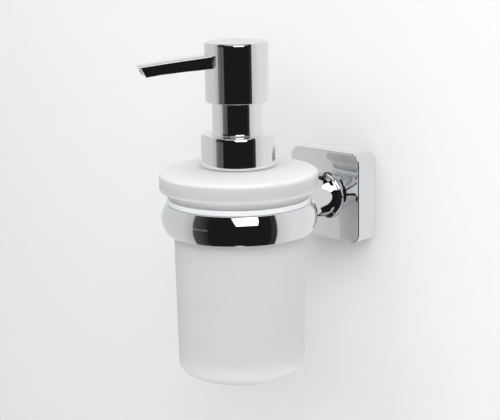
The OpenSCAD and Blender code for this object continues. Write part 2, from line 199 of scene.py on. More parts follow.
# ------------------------------------------------ finishes


class Shader:
    """A new material with its Principled shader and a short way to add and join nodes."""

    def __init__(self, name):
        self.material = bpy.data.materials.new(name)
        self.material.use_nodes = True
        self.tree = self.material.node_tree
        self.principled = self.tree.nodes["Principled BSDF"]
        coords = self.tree.nodes.new("ShaderNodeTexCoord")
        self.place = coords.outputs["Object"]

    def set(self, **values):
        for key, value in values.items():
            self.principled.inputs[key.replace("_", " ")].default_value = value

    def add(self, kind, **values):
        node = self.tree.nodes.new(kind)
        for key, value in values.items():
            if hasattr(node, key):
                setattr(node, key, value)
            else:
                node.inputs[key.replace("_", " ")].default_value = value
        return node

    def join(self, source, target):
        self.tree.links.new(source, target)

    def noise(self, scale, detail=2.0, roughness=0.5, stretch=(1.0, 1.0, 1.0)):
        """Noise over the piece, with the grain drawn out along an axis by stretch."""
        mapping = self.add("ShaderNodeMapping", Scale=stretch)
        texture = self.add("ShaderNodeTexNoise", Scale=scale, Detail=detail, Roughness=roughness)
        self.join(self.place, mapping.inputs["Vector"])
        self.join(mapping.outputs["Vector"], texture.inputs["Vector"])
        return texture.outputs["Fac"]

    def spread(self, value, low, high, start=0.3, end=0.7):
        """The value mapped from start and end to low and high."""
        node = self.add("ShaderNodeMapRange", From_Min=start, From_Max=end, To_Min=low, To_Max=high)
        self.join(value, node.inputs["Value"])
        return node.outputs["Result"]

    def blend(self, value, first, second):
        """A colour between first and second."""
        node = self.add("ShaderNodeMix", data_type="RGBA")
        self.join(value, node.inputs[MIX_FACTOR])
        node.inputs[MIX_A].default_value = (*first, 1.0)
        node.inputs[MIX_B].default_value = (*second, 1.0)
        return node.outputs[MIX_RESULT]

    def colour_by(self, value, first, second):
        """Makes the base colour vary between two colours along the noise value."""
        mixed = self.blend(self.spread(value, 0.0, 1.0), first, second)
        self.join(mixed, self.principled.inputs["Base Color"])

    def ramp(self, value, stops):
        """Greys along the value, from (place, brightness) stops."""
        node = self.add("ShaderNodeValToRGB")
        elements = node.color_ramp.elements
        elements[0].position, elements[1].position = stops[0][0], stops[-1][0]
        for place, shade in stops[1:-1]:
            elements.new(place)
        for element, (place, shade) in zip(elements, stops):
            element.color = (shade, shade, shade, 1.0)
        self.join(value, node.inputs["Fac"])
        return node.outputs["Color"]

    def bump(self, value, depth, strength=1.0):
        node = self.add("ShaderNodeBump", Strength=strength, Distance=depth)
        self.join(value, node.inputs["Height"])
        self.join(node.outputs["Normal"], self.principled.inputs["Normal"])


def chrome(name, colour, rough=0.035):
    """Polished chrome with faint polishing swirls and water haze in its gloss."""
    shader = Shader(name)
    shader.set(Metallic=1.0)
    tint = [channel * 0.97 for channel in colour]
    haze = shader.noise(60.0, 3.0)
    shader.colour_by(haze, tint, colour)
    polish = shader.noise(900.0, 4.0, 0.65)
    shader.join(shader.spread(polish, rough * 0.8, rough * 1.3), shader.principled.inputs["Roughness"])
    shader.bump(shader.noise(260.0, 1.0), 0.004 * MM, 0.35)
    return shader.material


def frosted_glass(name, colour, levels, shades):
    """White acid-frosted glass: milky in depth, finely etched, and tinted by height: the flange's side
    darker, partly for its thick glass and partly as painted shade; the step and the flange's top lighter as
    painted light.
    """
    shader = Shader(name)
    shader.set(IOR=1.5, Transmission_Weight=0.10, Subsurface_Weight=1.0, Subsurface_Scale=12.0 * MM,
               Subsurface_Radius=(1.0, 1.0, 0.98), Specular_IOR_Level=0.45)
    milk = shader.noise(35.0, 4.0, 0.6)
    cloud = shader.blend(shader.spread(milk, 0.0, 1.0), [channel * 0.965 for channel in colour], colour)
    # A grey by height: partly the glass's thickness, partly painted shade on the flange's side and painted
    # light on the step and on the flange's top.
    height = shader.add("ShaderNodeSeparateXYZ")
    shader.join(shader.place, height.inputs["Vector"])
    level = shader.spread(height.outputs["Z"], 0.0, 1.0, levels[0], levels[-1])
    span = levels[-1] - levels[0]
    thickness = shader.ramp(level, [((z - levels[0]) / span, shade) for z, shade in zip(levels, shades)])
    tint = shader.add("ShaderNodeMix", data_type="RGBA", blend_type="MULTIPLY")
    tint.inputs[MIX_FACTOR].default_value = 1.0
    shader.join(cloud, tint.inputs[MIX_A])
    shader.join(thickness, tint.inputs[MIX_B])
    shader.join(tint.outputs[MIX_RESULT], shader.principled.inputs["Base Color"])
    etch = shader.noise(1400.0, 5.0, 0.7)
    shader.join(shader.spread(etch, 0.34, 0.48), shader.principled.inputs["Roughness"])
    shader.bump(shader.noise(3200.0, 3.0, 0.6), 0.02 * MM, 0.5)
    return shader.material


def glass_levels(glass):
    """Levels up the bottle, and the brightness painted into the glass at each: body, step, flange's side and
    rim. The step is lifted as painted light against the shadow under the flange. The side is darkened for its
    thick glass and as painted shade. The rim is lifted as painted light from above.
    """
    step_z = Span("ring_liner").z1
    flange_z = step_z + glass.step_height
    edge_z = flange_z + glass.flange_side - glass.flange_edge
    side, rim = glass.flange_thick_glass_and_painted_shade, glass.rim_painted_light
    levels = [step_z - 2.0 * MM, step_z, flange_z, flange_z + 2.0 * MM, edge_z, edge_z + 2.0 * MM]
    # The step's full brightness is painted light against the shade under the flange; the rim's brightness is
    # painted light from above.
    return levels, [glass.body_shade, 1.0, 1.0, side, side, rim]


def moulded_plastic(name, colour, rough=0.32, grain=1800.0, clear=0.0):
    """Moulded plastic with a faint flow pattern and a fine surface grain."""
    shader = Shader(name)
    shader.set(IOR=1.49, Subsurface_Weight=0.15, Subsurface_Scale=2.0 * MM, Transmission_Weight=clear)
    deep = [channel * 0.95 for channel in colour]
    flow = shader.noise(90.0, 3.0, 0.55, (1.0, 1.0, 0.3))
    shader.colour_by(flow, deep, colour)
    skin = shader.noise(grain, 4.0, 0.6)
    shader.join(shader.spread(skin, rough * 0.85, rough * 1.2), shader.principled.inputs["Roughness"])
    shader.bump(skin, 0.01 * MM, 0.4)
    return shader.material


def worked_steel(name, colour, rough=0.3, stretch=(1.0, 1.0, 12.0)):
    """Turned, drawn or plated steel with fine tool marks along one direction."""
    shader = Shader(name)
    shader.set(Metallic=1.0)
    marks = shader.noise(700.0, 4.0, 0.65, stretch)
    dark = [channel * 0.86 for channel in colour]
    shader.colour_by(marks, dark, colour)
    cloud = shader.noise(140.0, 3.0)
    shader.join(shader.spread(cloud, rough * 0.8, rough * 1.25), shader.principled.inputs["Roughness"])
    shader.bump(marks, 0.008 * MM, 0.5)
    return shader.material


def soft_rubber(name, colour):
    """Moulded rubber, matt and slightly dusty."""
    shader = Shader(name)
    shader.set(IOR=1.52, Sheen_Weight=0.15, Sheen_Roughness=0.5)
    dust = shader.noise(220.0, 4.0, 0.6)
    pale = [min(1.0, channel * 1.25) for channel in colour]
    shader.colour_by(dust, colour, pale)
    shader.join(shader.spread(dust, 0.55, 0.75), shader.principled.inputs["Roughness"])
    shader.bump(shader.noise(1500.0, 3.0), 0.015 * MM, 0.5)
    return shader.material


def one_sided_paint(name, colour):
    """Matt wall paint that is clear from behind, so the object's back can be seen too."""
    shader = Shader(name)
    shader.set(Roughness=0.9, Specular_IOR_Level=0.0, Base_Color=(*colour, 1.0))
    output = shader.tree.nodes["Material Output"]
    side = shader.add("ShaderNodeNewGeometry")
    clear = shader.add("ShaderNodeBsdfTransparent")
    mix = shader.add("ShaderNodeMixShader")
    shader.join(side.outputs["Backfacing"], mix.inputs["Fac"])
    shader.join(shader.principled.outputs["BSDF"], mix.inputs[1])
    shader.join(clear.outputs["BSDF"], mix.inputs[2])
    shader.join(mix.outputs["Shader"], output.inputs["Surface"])
    return shader.material


def finish_for(slot):
    """The finish of each material slot in the record, made once."""
    name = "finish_" + slot
    if name in bpy.data.materials:
        return bpy.data.materials[name]
    mount = bpy.context.scene.dispenser_mount
    glass = bpy.context.scene.dispenser_bottle
    makers = {
        "chrome": lambda: chrome(name, mount.chrome_colour),
        "chrome_plating": lambda: chrome(name, mount.chrome_colour, 0.03),
        "frosted_glass": lambda: frosted_glass(name, glass.glass_colour, *glass_levels(glass)),
        "liner_plastic": lambda: moulded_plastic(name, (0.95, 0.955, 0.965), 0.3, clear=0.05),
        "pump_plastic": lambda: moulded_plastic(name, (0.86, 0.86, 0.85)),
        "tube_plastic": lambda: moulded_plastic(name, (0.86, 0.87, 0.87), 0.28, 1200.0, 0.45),
        "seal_rubber": lambda: soft_rubber(name, (0.10, 0.105, 0.11)),
        "zinc_plate": lambda: worked_steel(name, (0.66, 0.67, 0.68), 0.36, (10.0, 1.0, 1.0)),
        "screw_steel": lambda: worked_steel(name, (0.60, 0.60, 0.61), 0.26),
        "spring_steel": lambda: worked_steel(name, (0.62, 0.62, 0.63), 0.22, (1.0, 1.0, 6.0)),
    }
    return makers[slot]()


# ------------------------------------------------ modelling helpers


def deselect_all():
    if bpy.context.object and bpy.context.object.mode != "OBJECT":
        bpy.ops.object.mode_set(mode="OBJECT")
    bpy.ops.object.select_all(action="DESELECT")


def pick_only(piece):
    deselect_all()
    piece.select_set(True)
    bpy.context.view_layer.objects.active = piece


def place_in_mesh(piece):
    """Moves the piece's place, turn and scale into its mesh."""
    pick_only(piece)
    bpy.ops.object.transform_apply(location=True, rotation=True, scale=True)


def smooth(piece, angle=30.0):
    pick_only(piece)
    bpy.ops.object.shade_smooth_by_angle(angle=math.radians(angle))


def apply_modifiers(piece):
    pick_only(piece)
    for modifier in list(piece.modifiers):
        bpy.ops.object.modifier_apply(modifier=modifier.name)


def cut_away(piece, cutter):
    """Cuts the cutter's shape out of the piece, and removes the cutter."""
    place_in_mesh(cutter)
    cut = piece.modifiers.new("cut", "BOOLEAN")
    cut.operation = "DIFFERENCE"
    cut.object = cutter
    cut.solver = "EXACT"
    apply_modifiers(piece)
    bpy.data.objects.remove(cutter)


def arc(x, z, radius, start, end, steps=8):
    """Points on a round edge about (x, z), from one angle to another in degrees, 0 being outwards."""
    points = []
    for i in range(steps + 1):
        angle = math.radians(start + (end - start) * i / steps)
        points.append((x + radius * math.cos(angle), z + radius * math.sin(angle)))
    return points


def draw_outline(name, points, closed=True):
    """Starts from a single vertex and extrudes it from point to point, in the XZ plane."""
    deselect_all()
    first = Vector((points[0][0], 0.0, points[0][1]))
    bpy.ops.mesh.primitive_plane_add(size=1.0 * MM, location=first)
    piece = bpy.context.object
    piece.name = piece.data.name = name
    bpy.ops.object.mode_set(mode="EDIT")
    bpy.ops.mesh.select_mode(type="VERT")
    bpy.ops.mesh.select_all(action="SELECT")
    bpy.ops.mesh.merge(type="CENTER")
    here = first
    for x, z in points[1:]:
        step = Vector((x, 0.0, z)) - here
        bpy.ops.mesh.extrude_vertices_move(TRANSFORM_OT_translate={"value": step})
        here = here + step
    bpy.ops.mesh.select_all(action="SELECT")
    if closed:
        mesh = bmesh.from_edit_mesh(piece.data)
        ends = [v for v in mesh.verts if len(v.link_edges) == 1]
        for v in mesh.verts:
            v.select = v in ends
        mesh.select_flush_mode()
        bmesh.update_edit_mesh(piece.data)
        bpy.ops.mesh.edge_face_add()
        bpy.ops.mesh.select_all(action="SELECT")
    return piece


def held_straights(points, hold=0.15 * MM, shortest=0.8 * MM):
    """The outline with points added near both ends of each long straight, so that its shading stays flat."""
    held = [points[0]]
    for here, there in zip(points, points[1:]):
        run = Vector((there[0] - here[0], there[1] - here[1]))
        if run.length > shortest:
            step = run * (hold / run.length)
            held += [(here[0] + step.x, here[1] + step.y), (there[0] - step.x, there[1] - step.y)]
        held.append(there)
    return held


def turned(name, points, axis=AXIS, steps=192, angle=30.0, closed=True):
    """Turns an outline of (radius, height) points about an upright axis, usually the bottle's."""
    piece = draw_outline(name, held_straights(points), closed)
    bpy.ops.mesh.spin(steps=steps, angle=math.tau, center=(0.0, 0.0, 0.0), axis=(0.0, 0.0, 1.0))
    bpy.ops.mesh.select_all(action="SELECT")
    bpy.ops.mesh.remove_doubles(threshold=0.002 * MM)
    bpy.ops.mesh.normals_make_consistent(inside=False)
    bpy.ops.object.mode_set(mode="OBJECT")
    place_in_mesh(piece)
    piece.location = axis
    place_in_mesh(piece)
    smooth(piece, angle)
    return piece


def wound(name, radius, start, turns, rise, steps):
    """Winds a round wire about the bottle's axis, from a start at (radius, height)."""
    deselect_all()
    bpy.ops.mesh.primitive_circle_add(
        vertices=12, radius=radius, fill_type="NGON",
        location=(start[0], 0.0, start[1]), rotation=(math.radians(90.0), 0.0, 0.0))
    piece = bpy.context.object
    piece.name = piece.data.name = name
    place_in_mesh(piece)
    winding = piece.modifiers.new("winding", "SCREW")
    winding.axis = "Z"
    winding.angle = math.tau * turns
    winding.screw_offset = rise
    winding.steps = winding.render_steps = steps
    winding.use_normal_calculate = True
    apply_modifiers(piece)
    piece.location = AXIS
    place_in_mesh(piece)
    smooth(piece, 40.0)
    return piece


def lay_along_wall_normal(piece, y0):
    """Turns a piece made about z so that its axis runs out from the wall, and starts it at y0."""
    piece.rotation_euler = (math.radians(90.0), 0.0, 0.0)
    place_in_mesh(piece)
    piece.location = (0.0, y0, 0.0)
    place_in_mesh(piece)


def dress(piece, slot, body, *nodes):
    """Gives a piece its finish and the body that it rides on, and hides the CAD nodes that it stands for."""
    piece.data.materials.clear()
    piece.data.materials.append(finish_for(slot))
    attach(piece, body)
    if nodes:
        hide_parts(*nodes)


# ------------------------------------------------ the wall side


class DISPENSER_OT_rosette(bpy.types.Operator):
    """Make the square rosette, hollow behind, with its rounded corners and eased front edge"""

    bl_idname = "dispenser.rosette"
    bl_label = "Rosette"

    def execute(self, context):
        mount = context.scene.dispenser_mount
        low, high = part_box("rosette")
        side, depth = high[0] - low[0], high[1] - low[1]
        deselect_all()
        bpy.ops.mesh.primitive_cube_add(size=1.0, location=(0.0, -depth / 2, 0.0), scale=(side, depth, side))
        piece = context.object
        piece.name = piece.data.name = "rosette_cover"
        place_in_mesh(piece)
        bpy.ops.object.mode_set(mode="EDIT")
        self.select_edges(piece, lambda edge: abs(edge.verts[0].co.y - edge.verts[1].co.y) > depth / 2)
        bpy.ops.mesh.bevel(offset=mount.corner, segments=14, profile=0.5, affect="EDGES")
        self.select_faces(piece, lambda face: face.normal.y > 0.9)
        bpy.ops.mesh.inset(thickness=mount.wall, depth=0.0)
        bpy.ops.mesh.extrude_region_move(TRANSFORM_OT_translate={"value": (0.0, mount.wall - depth, 0.0)})
        bpy.ops.mesh.select_all(action="DESELECT")
        self.select_edges(piece, lambda edge: all(vert.co.y < -depth + 1e-6 for vert in edge.verts))
        bpy.ops.mesh.bevel(offset=mount.front_edge, segments=5, profile=0.5, affect="EDGES")
        bpy.ops.object.mode_set(mode="OBJECT")
        self.bore_grub_hole(context, piece)
        smooth(piece, 35.0)
        dress(piece, "chrome", "holder", "rosette")
        return {"FINISHED"}

    def select_edges(self, piece, wanted):
        mesh = bmesh.from_edit_mesh(piece.data)
        for edge in mesh.edges:
            edge.select = wanted(edge)
        bmesh.update_edit_mesh(piece.data)

    def select_faces(self, piece, wanted):
        bpy.ops.mesh.select_mode(type="FACE")
        bpy.ops.mesh.select_all(action="DESELECT")
        mesh = bmesh.from_edit_mesh(piece.data)
        for face in mesh.faces:
            face.select = wanted(face)
        bmesh.update_edit_mesh(piece.data)

    def bore_grub_hole(self, context, piece):
        """Cuts the hole for the grub screw from below."""
        screw_low, screw_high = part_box("rosette_grub_screw")
        middle = (screw_low + screw_high) / 2
        hole = (screw_high[0] - screw_low[0]) / 2
        clearance, depth, height = 1.04, 0.02, -0.022
        deselect_all()
        bpy.ops.mesh.primitive_cylinder_add(
            vertices=48, radius=hole * clearance, depth=depth, location=(middle[0], middle[1], height))
        cut_away(piece, context.object)


class DISPENSER_OT_arm(bpy.types.Operator):
    """Make the round arm, with its fillet at the rosette and its taper to the ring"""

    bl_idname = "dispenser.arm"
    bl_label = "Arm"

    def execute(self, context):
        mount = context.scene.dispenser_mount
        low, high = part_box("arm_post")
        foot = (high[0] - low[0]) / 2
        fillet = foot - mount.arm_radius
        ring = Span("holder_ring")
        end = -AXIS.y - ring.r + 2.5 * MM
        length = end + high[1]
        outline = [(0.0, 0.0)] + arc(foot, fillet, fillet, -90.0, -180.0, 12)
        outline += [(mount.arm_radius, mount.arm_straight), (mount.arm_tip_radius, length), (0.0, length)]
        piece = turned("arm", outline, Vector((0.0, 0.0, 0.0)), 160, 35.0, closed=False)
        lay_along_wall_normal(piece, high[1])
        smooth(piece, 35.0)
        dress(piece, "chrome", "holder", "arm_post")
        return {"FINISHED"}


class DISPENSER_OT_ring(bpy.types.Operator):
    """Make the bulging ring that holds the bottle"""

    bl_idname = "dispenser.ring"
    bl_label = "Ring"

    def execute(self, context):
        mount = context.scene.dispenser_mount
        ring = Span("holder_ring")
        centre = ring.r - mount.ring_bulge
        top = math.degrees(math.asin((ring.z1 - mount.ring_edge * 0.35) / mount.ring_bulge))
        low = math.degrees(math.asin((ring.z0 + mount.ring_edge * 0.35) / mount.ring_bulge))
        edge, bore, bulge = mount.ring_edge, mount.ring_bore, mount.ring_bulge
        low_x, top_x = (centre + bulge * math.cos(math.radians(angle)) - edge for angle in (low, top))
        outline = [(bore, ring.z0 + edge), (bore + edge, ring.z0), (low_x, ring.z0)]
        outline += arc(centre, 0.0, bulge, low, top, 40)
        outline += [(top_x, ring.z1), (bore + edge, ring.z1), (bore, ring.z1 - edge)]
        piece = turned("ring", outline, steps=256, angle=32.0)
        dress(piece, "chrome", "holder", "holder_ring")
        return {"FINISHED"}


class DISPENSER_OT_liner(bpy.types.Operator):
    """Make the plastic liner, whose rounded lip carries the bottle above the ring"""

    bl_idname = "dispenser.liner"
    bl_label = "Ring liner"

    def execute(self, context):
        mount = context.scene.dispenser_mount
        liner = Span("ring_liner")
        ring = Span("holder_ring")
        inner = mount.ring_bore - mount.liner_wall
        edge = 0.6 * MM
        snug_x, seat_z = mount.ring_bore - 0.02 * MM, ring.z1 + 0.02 * MM
        outline = [(inner, liner.z0 + 0.3 * MM), (inner + 0.3 * MM, liner.z0)]
        outline += [(snug_x, liner.z0), (snug_x, seat_z)]
        outline += [(liner.r - 0.3 * MM, seat_z), (liner.r, ring.z1 + 0.3 * MM)]
        outline += arc(liner.r - edge, liner.z1 - edge, edge, 0.0, 90.0, 6)
        outline += [(inner + edge, liner.z1), (inner, liner.z1 - edge)]
        piece = turned("liner", outline, steps=224, angle=40.0)
        dress(piece, "liner_plastic", "holder", "ring_liner")
        return {"FINISHED"}


# ------------------------------------------------ the bottle


class DISPENSER_OT_bottle(bpy.types.Operator):
    """Make the frosted glass bottle with its thick base, step, flange and threaded neck"""

    bl_idname = "dispenser.bottle"
    bl_label = "Bottle"

    def execute(self, context):
        glass = context.scene.dispenser_bottle
        box = Span("bottle")
        step_z = Span("ring_liner").z1
        flange_z = step_z + glass.step_height
        edge_x = box.r - glass.flange_edge
        edge_z = flange_z + glass.flange_side - glass.flange_edge
        under_x = box.r - glass.flange_under_edge
        under_z = flange_z + glass.flange_under_edge
        foot_x = glass.foot_radius - glass.foot_edge
        foot_z = box.z0 + glass.foot_edge
        cove, rim_z = 3.0 * MM, box.z1 - 0.02 * MM
        slope = math.degrees(glass.flange_slope)
        seat_x = glass.neck_radius + 1.0 * MM
        slope_x = edge_x + glass.flange_edge * math.sin(glass.flange_slope)
        slope_z = edge_z + glass.flange_edge * math.cos(glass.flange_slope)
        seat_z = slope_z + (slope_x - Span("collar_cover").r) * math.tan(glass.flange_slope)
        outline = [(0.0, box.z0 + 1.2 * MM), (foot_x * 0.55, box.z0 + 0.9 * MM),
                   (foot_x * 0.86, box.z0 + 0.25 * MM), (foot_x * 0.93, box.z0)]
        outline += arc(foot_x, foot_z, glass.foot_edge, -90.0, 0.0, 16)
        outline += [(glass.body_radius - 0.05 * MM, -1.0 * MM), (glass.body_radius, step_z - 0.5 * MM)]
        outline.append((glass.body_radius + 0.5 * MM, step_z + 0.05 * MM))
        outline += arc(glass.step_radius - 0.8 * MM, step_z + 0.8 * MM, 0.75 * MM, -90.0, 0.0, 6)
        outline += arc(glass.step_radius + cove, flange_z - cove, cove, 180.0, 90.0, 6)
        outline += arc(under_x, under_z, glass.flange_under_edge, -90.0, 0.0, 8)
        outline += arc(edge_x, edge_z, glass.flange_edge, 0.0, 90.0 - slope, 10)
        outline += [(seat_x + 4.5 * MM, seat_z), (seat_x, seat_z + 0.1 * MM),
                    (glass.neck_radius - 0.6 * MM, seat_z + 1.0 * MM)]
        outline += arc(glass.neck_radius - 1.4 * MM, rim_z - 0.8 * MM, 0.8 * MM, 0.0, 90.0, 4)
        outline += self.inside(glass, box, flange_z, seat_z)
        piece = turned("bottle_glass", outline, steps=256, angle=38.0, closed=False)
        self.add_thread(context, piece, glass, seat_z)
        dress(piece, "frosted_glass", "bottle", "bottle")
        return {"FINISHED"}

    def inside(self, glass, box, flange_z, seat_z):
        """The inner wall, from the neck down to the middle of the base."""
        bore = glass.neck_radius - glass.neck_wall
        wall_x = glass.body_radius - glass.glass_wall
        foot_x = glass.foot_radius - glass.glass_wall
        shoulder, corner = 8.0 * MM, 5.0 * MM
        base_z = box.z0 + glass.base
        points = [(bore, box.z1 - 0.6 * MM), (bore, seat_z - 3.0 * MM), (bore + 1.2 * MM, seat_z - 4.4 * MM)]
        points += arc(wall_x - shoulder, flange_z - 3.0 * MM, shoulder, 80.0, 0.0, 12)
        points += arc(foot_x - corner, base_z + corner, corner, 0.0, -90.0, 8)
        points.append((0.0, base_z + 0.8 * MM))
        return points

    def add_thread(self, context, piece, glass, seat_z):
        """Winds the neck's single thread ridge, one and a half turns, and joins it to the glass."""
        turns, pitch, radius = 1.5, 4.2 * MM, 0.75 * MM
        start = (glass.neck_radius - radius, seat_z + 2.6 * MM)
        ridge = wound("thread_ridge", radius, start, turns, pitch * turns, 108)
        pick_only(ridge)
        piece.select_set(True)
        context.view_layer.objects.active = piece
        bpy.ops.object.join()


# ------------------------------------------------ the pump


class DISPENSER_OT_collar(bpy.types.Operator):
    """Make the chrome cover of the collar"""

    bl_idname = "dispenser.collar"
    bl_label = "Collar cover"

    def execute(self, context):
        pump = context.scene.dispenser_pump
        collar = Span("collar_cover")
        nut = Span("closure_nut")
        edge = pump.collar_edge
        hole = Span("neck_sleeve").r - 0.7 * MM
        inner = collar.r - pump.collar_wall
        outline = [(inner, collar.z0 + 0.15 * MM), (inner + 0.2 * MM, collar.z0)]
        outline += arc(collar.r - 0.35 * MM, collar.z0 + 0.35 * MM, 0.35 * MM, -90.0, 0.0, 4)
        outline += arc(collar.r - edge, collar.z1 - edge, edge, 0.0, 90.0, 8)
        outline += [(hole, collar.z1), (hole, nut.z1), (inner, nut.z1)]
        piece = turned("collar_shell", outline, steps=224, angle=32.0)
        dress(piece, "chrome_plating", "collar", "collar_cover")
        return {"FINISHED"}


class DISPENSER_OT_sleeve(bpy.types.Operator):
    """Make the narrow sleeve between the collar and the head"""

    bl_idname = "dispenser.sleeve"
    bl_label = "Neck sleeve"

    def execute(self, context):
        pump = context.scene.dispenser_pump
        sleeve = Span("neck_sleeve")
        collar = Span("collar_cover")
        spigot = sleeve.r - 0.7 * MM
        inner = sleeve.r - pump.sleeve_wall
        flare = pump.sleeve_flare
        outline = [(inner, sleeve.z0), (spigot, sleeve.z0)]
        outline += [(spigot, collar.z1), (sleeve.r + flare, collar.z1)]
        outline += arc(sleeve.r + flare, collar.z1 + 0.05 * MM + flare, flare, -90.0, -180.0, 8)
        outline += arc(sleeve.r - 0.4 * MM, sleeve.z1 - 0.4 * MM, 0.4 * MM, 0.0, 90.0, 4)
        outline.append((inner, sleeve.z1))
        piece = turned("sleeve", outline, angle=32.0)
        dress(piece, "chrome_plating", "collar", "neck_sleeve")
        return {"FINISHED"}


class DISPENSER_OT_head(bpy.types.Operator):
    """Make the head that is pressed, with its eased top edge and the opening for the spout"""

    bl_idname = "dispenser.head"
    bl_label = "Head"

    def execute(self, context):
        pump = context.scene.dispenser_pump
        head = Span("head_shell")
        core = Span("head_core")
        edge = pump.head_edge
        inner = head.r - pump.head_wall
        outline = [(inner, core.z1), (inner, head.z0 + 0.25 * MM), (inner + 0.25 * MM, head.z0)]
        outline += arc(head.r - 0.45 * MM, head.z0 + 0.45 * MM, 0.45 * MM, -90.0, 0.0, 5)
        outline += arc(head.r - edge, head.z1 - edge, edge, 0.0, 88.0, 8)
        outline += [(head.r * 0.7, head.z1), (0.0, head.z1)]
        piece = turned("head", [(0.0, core.z1)] + outline, steps=224, angle=32.0, closed=False)
        dress(piece, "chrome_plating", "head", "head_shell")
        return {"FINISHED"}


class DISPENSER_OT_spout(bpy.types.Operator):
    """Make the flat spout, drooping and narrowing to a slanted tip with its outlet"""

    bl_idname = "dispenser.spout"
    bl_label = "Spout"

    def execute(self, context):
        pump = context.scene.dispenser_pump
        head = Span("head_shell")
        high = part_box("spout")[1]
        root = head.r - 3.0 * MM
        length = SPOUT_LENGTH
        middle = high[2] - 3.3 * MM
        droop = math.tan(pump.spout_droop)
        flat = head.r - pump.head_wall
        drop = (length - flat) * droop
        stations = [
            (root, 7.0 * MM, 3.3 * MM, 0.0),
            (flat, 7.0 * MM, 3.3 * MM, 0.0),
            (flat + (length - flat) * 0.35, 6.0 * MM, 3.05 * MM, drop * 0.31),
            (flat + (length - flat) * 0.7, 5.6 * MM, 2.9 * MM, drop * 0.66),
            (length, 5.5 * MM, 2.75 * MM, drop),
        ]
        deselect_all()
        bpy.ops.mesh.primitive_cube_add(size=2.0)
        piece = context.object
        piece.name = piece.data.name = "spout_bar"
        self.shape(piece, stations, pump.spout_undercut)
        self.pierce(context, piece, length, drop)
        piece.rotation_euler = (0.0, 0.0, -math.pi / 2 - pump.spout_turn)
        place_in_mesh(piece)
        piece.location = AXIS + Vector((0.0, 0.0, middle))
        place_in_mesh(piece)
        smooth(piece)
        dress(piece, "chrome_plating", "head", "spout")
        return {"FINISHED"}

    def shape(self, piece, stations, undercut):
        """Draws the bar out from a cube, one station at a time."""
        bpy.ops.object.mode_set(mode="EDIT")
        mesh = bmesh.from_edit_mesh(piece.data)
        first, second = stations[0], stations[1]
        for vert in mesh.verts:
            x, width, height, drop = first if vert.co.x < 0 else second
            vert.co = (x, math.copysign(width, vert.co.y), math.copysign(height, vert.co.z) - drop)
        bmesh.update_edit_mesh(piece.data)
        for before, station in zip(stations[1:], stations[2:]):
            bpy.ops.mesh.select_mode(type="FACE")
            bpy.ops.mesh.select_all(action="DESELECT")
            mesh = bmesh.from_edit_mesh(piece.data)
            mesh.normal_update()
            end = max(mesh.faces, key=lambda face: face.calc_center_median().x)
            end.select = True
            bmesh.update_edit_mesh(piece.data)
            bpy.ops.mesh.extrude_region_move(
                TRANSFORM_OT_translate={"value": (station[0] - before[0], 0.0, before[3] - station[3])})
            bpy.ops.transform.resize(value=(1.0, station[1] / before[1], station[2] / before[2]))
        mesh = bmesh.from_edit_mesh(piece.data)
        tip_x = stations[-1][0]
        tip_z = -stations[-1][3]
        for vert in mesh.verts:
            if vert.co.x > tip_x - 1e-6 and vert.co.z < tip_z:
                vert.co.x -= undercut
        bmesh.update_edit_mesh(piece.data)
        bpy.ops.mesh.select_all(action="SELECT")
        bpy.ops.mesh.normals_make_consistent(inside=False)
        bpy.ops.object.mode_set(mode="OBJECT")
        edges = piece.modifiers.new("eased edges", "BEVEL")
        edges.width, edges.segments = 0.35 * MM, 3
        edges.limit_method = "ANGLE"
        edges.angle_limit = math.radians(30.0)
        apply_modifiers(piece)

    def pierce(self, context, piece, length, drop):
        """Cuts the outlet into the slanted tip."""
        deselect_all()
        bpy.ops.mesh.primitive_cylinder_add(
            vertices=40, radius=OUTLET_RADIUS, depth=24.0 * MM,
            location=(length - 4.0 * MM, 0.0, -drop + 0.1 * MM),
            rotation=(0.0, math.radians(92.5), 0.0))
        cut_away(piece, context.object)


class DISPENSER_OT_coil(bpy.types.Operator):
    """Wind the return spring at rest; the real spring shortens as the head goes down"""

    bl_idname = "dispenser.coil"
    bl_label = "Return spring"

    def execute(self, context):
        pump = context.scene.dispenser_pump
        box = Span("spring")
        start = (box.r - WIRE_RADIUS, box.z0 + 1.1 * WIRE_RADIUS)
        length = box.z1 - box.z0
        rise = length - 2.2 * WIRE_RADIUS
        piece = wound("coil", WIRE_RADIUS, start, pump.coil_turns, rise, 40 * pump.coil_turns)
        dress(piece, "spring_steel", "pump", "spring")
        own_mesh(piece)
        return {"FINISHED"}


class DISPENSER_OT_inner_finishes(bpy.types.Operator):
    """Give every remaining CAD piece the finish of its slot in the record"""

    bl_idname = "dispenser.inner_finishes"
    bl_label = "Inner finishes"

    def execute(self, context):
        slots = {entry["node"]: entry["material_slot"] for entry in frame["record"]["subparts"]}
        for node, piece in frame["nodes"].items():
            piece.data.materials.clear()
            piece.data.materials.append(finish_for(slots[node]))
        return {"FINISHED"}


# ------------------------------------------------ the studio


def outward(azimuth, elevation):
    """The direction at an angle round from straight out of the wall, towards +X, and above the horizon."""
    level = math.cos(elevation)
    return Vector((math.sin(azimuth) * level, -math.cos(azimuth) * level, math.sin(elevation)))


# What the chrome mirrors, as pairs of an angle round from the camera's side and a brightness: most of
# the room, and a low band of it that holds a paler strip on the left.
MIRRORED_ROOM = [
    (-180.0, 0.84), (-150.0, 0.68), (-92.0, 0.64), (-72.0, 0.48), (-70.0, 0.075), (-47.0, 0.02),
    (-46.0, 0.012), (47.0, 0.012), (47.4, 0.032), (56.0, 0.032), (56.6, 0.62), (70.0, 0.69),
    (85.0, 0.78), (180.0, 0.84),
]
LOW_BAND = [
    (-180.0, 0.84), (-150.0, 0.68), (-92.0, 0.64), (-72.0, 0.48), (-69.0, 0.20), (-54.5, 0.08),
    (-53.5, 0.13), (-47.0, 0.11), (-46.0, 0.012), (47.0, 0.012), (47.4, 0.032), (56.0, 0.032),
    (56.6, 0.62), (70.0, 0.69), (85.0, 0.78), (180.0, 0.84),
]


